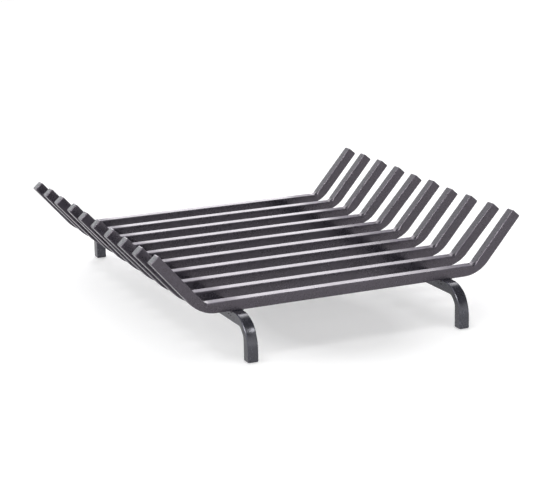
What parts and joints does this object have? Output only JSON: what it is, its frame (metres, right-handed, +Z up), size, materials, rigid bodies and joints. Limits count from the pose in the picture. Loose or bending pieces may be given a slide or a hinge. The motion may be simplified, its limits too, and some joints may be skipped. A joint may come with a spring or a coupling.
{
  "type": "log grate",
  "caption": "Welded square-bar log grate with upturned bar ends, carried on two leg bars bent down to the hearth.",
  "frame": {"origin": "on the hearth, under the middle of the grate", "axes": "+X along the grate bars to the right, +Y from the front bar to the back bar, +Z up"},
  "size_m": [0.4702, 0.5286, 0.1228],
  "materials": {
    "painted_steel": "satin",
    "painted_weld": "satin"
  },
  "bodies": {
    "root": {"grate_bar_1": "painted_steel", "grate_bar_2": "painted_steel", "grate_bar_3": "painted_steel", "grate_bar_4": "painted_steel", "grate_bar_5": "painted_steel", "grate_bar_6": "painted_steel", "grate_bar_7": "painted_steel", "grate_bar_8": "painted_steel", "grate_bar_9": "painted_steel", "grate_bar_10": "painted_steel", "left_leg_bar": "painted_steel", "right_leg_bar": "painted_steel", "left_leg_outer_welds": "painted_weld", "left_leg_inner_welds": "painted_weld", "right_leg_inner_welds": "painted_weld", "right_leg_outer_welds": "painted_weld"}
  },
  "joints": []
}
